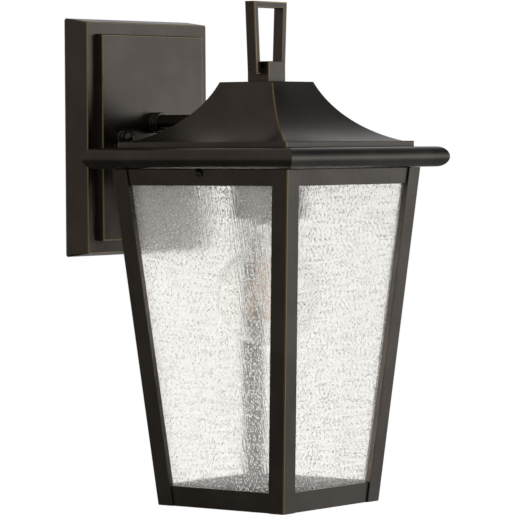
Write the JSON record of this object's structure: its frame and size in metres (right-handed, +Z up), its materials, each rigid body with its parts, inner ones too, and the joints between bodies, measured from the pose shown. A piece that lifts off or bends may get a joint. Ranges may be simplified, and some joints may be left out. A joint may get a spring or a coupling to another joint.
{
  "type": "outdoor wall lantern",
  "caption": "Outdoor wall lantern with a tapered glass cage, open bottom, swept square roof, ring finial and a two-tier backplate on a short arm.",
  "frame": {"origin": "centre of the backplate on the wall plane", "axes": "+Z up, +Y into the wall, so the lantern stands out along -Y, +X to the right seen from the front"},
  "size_m": [0.178, 0.2127, 0.3394],
  "materials": {
    "bronze": "antique bronze paint, satin, rubbed to brass on its edges",
    "seeded_glass": "clear glass with fine seeds",
    "zinc_steel": "zinc plated",
    "brass": "plain",
    "solder": "dull tin",
    "rubber": "matt",
    "foam": "closed-cell foam",
    "green_paint": "green",
    "porcelain": "glazed",
    "black_insulator": "black vitreous insulator",
    "clear_glass": "clear",
    "filament_coating": "amber phosphor coating",
    "lead_insulation": "plain"
  },
  "bodies": {
    "fixture": {"arm_collar": "bronze", "arm_lock_nuts": "zinc_steel", "arm_lock_washer": "zinc_steel", "arm_tube": "bronze", "backplate_pan": "bronze", "backplate_panel": "bronze", "bracket_nuts": "zinc_steel", "bracket_screws": "zinc_steel", "eave_frame": "bronze", "finial_block": "bronze", "finial_nut": "zinc_steel", "finial_ring": "bronze", "finial_stud": "zinc_steel", "ground_screw": "green_paint", "mounting_strap": "zinc_steel", "mounting_studs": "zinc_steel", "roof_crown": "bronze", "roof_screws": "zinc_steel", "socket_bracket": "zinc_steel", "socket_contact": "brass", "socket_cup": "bronze", "socket_holder": "porcelain", "socket_leads": "lead_insulation", "socket_nipple": "zinc_steel", "socket_nut": "zinc_steel", "socket_shell": "brass", "stud_lock_nuts": "zinc_steel", "wall_gasket": "foam"},
    "cage": {"bottom_rail_front": "bronze", "bottom_rail_left": "bronze", "bottom_rail_rear": "bronze", "bottom_rail_right": "bronze", "corner_post_front_left": "bronze", "corner_post_front_right": "bronze", "corner_post_rear_left": "bronze", "corner_post_rear_right": "bronze", "glass_pane_front": "seeded_glass", "glass_pane_left": "seeded_glass", "glass_pane_rear": "seeded_glass", "glass_pane_right": "seeded_glass", "top_rail_front": "bronze", "top_rail_left": "bronze", "top_rail_rear": "bronze", "top_rail_right": "bronze", "glass_clips": "zinc_steel", "cage_inserts": "brass"},
    "cap_seal_left": {"cap_seal_left": "rubber"},
    "cap_nut_left": {"cap_nut_left": "bronze"},
    "cage_screw_washer_left": {"cage_screw_washer_left": "zinc_steel"},
    "cage_screw_left": {"cage_screw_left": "bronze"},
    "cap_seal_right": {"cap_seal_right": "rubber"},
    "cap_nut_right": {"cap_nut_right": "bronze"},
    "cage_screw_washer_right": {"cage_screw_washer_right": "zinc_steel"},
    "cage_screw_right": {"cage_screw_right": "bronze"},
    "lamp_tip": {"lamp_tip": "solder"},
    "lamp": {"lamp_base": "brass", "lamp_nose": "black_insulator", "lamp_envelope": "clear_glass", "lamp_stem": "clear_glass", "lamp_filaments": "filament_coating"}
  },
  "joints": [
    {"name": "cap_left_travel", "type": "slide", "parent": "fixture", "child": "cap_seal_left", "axis": [0, -1, 0], "range_m": [0, 0.005]},
    {"name": "cap_left_turn", "type": "hinge", "parent": "cap_seal_left", "child": "cap_nut_left", "pos_m": [-0.03492, -0.03, 0], "axis": [0, -1, 0], "range_deg": [0, 2270]},
    {"name": "cap_right_travel", "type": "slide", "parent": "fixture", "child": "cap_seal_right", "axis": [0, -1, 0], "range_m": [0, 0.005]},
    {"name": "cap_right_turn", "type": "hinge", "parent": "cap_seal_right", "child": "cap_nut_right", "pos_m": [0.03492, -0.03, 0], "axis": [0, -1, 0], "range_deg": [0, 2270]},
    {"name": "cage_drop", "type": "slide", "parent": "fixture", "child": "cage", "axis": [0, 0, -1], "range_m": [0, 0.06]},
    {"name": "cage_screw_left_travel", "type": "slide", "parent": "cage", "child": "cage_screw_washer_left", "axis": [-1, 0, 0], "range_m": [0, 0.0045]},
    {"name": "cage_screw_left_turn", "type": "hinge", "parent": "cage_screw_washer_left", "child": "cage_screw_left", "pos_m": [-0.0743, -0.1237, -0.0237], "axis": [-1, 0, 0], "range_deg": [0, 3244]},
    {"name": "cage_screw_right_travel", "type": "slide", "parent": "cage", "child": "cage_screw_washer_right", "axis": [1, 0, 0], "range_m": [0, 0.0045]},
    {"name": "cage_screw_right_turn", "type": "hinge", "parent": "cage_screw_washer_right", "child": "cage_screw_right", "pos_m": [0.0743, -0.1237, -0.0237], "axis": [1, 0, 0], "range_deg": [0, 3244]},
    {"name": "lamp_travel", "type": "slide", "parent": "fixture", "child": "lamp_tip", "axis": [0, 0, -1], "range_m": [0, 0.024]},
    {"name": "lamp_turn", "type": "hinge", "parent": "lamp_tip", "child": "lamp", "pos_m": [0, -0.1237, -0.05], "axis": [0, 0, -1], "range_deg": [0, 2384]}
  ],
  "couplings": [
    {"joint": "cap_left_turn", "follows": "cap_left_travel", "rad_per_m": 7915.8},
    {"joint": "cap_right_turn", "follows": "cap_right_travel", "rad_per_m": 7915.8},
    {"joint": "cage_screw_left_turn", "follows": "cage_screw_left_travel", "rad_per_m": 12566},
    {"joint": "cage_screw_right_turn", "follows": "cage_screw_right_travel", "rad_per_m": 12566},
    {"joint": "lamp_turn", "follows": "lamp_travel", "rad_per_m": 1731.6}
  ]
}
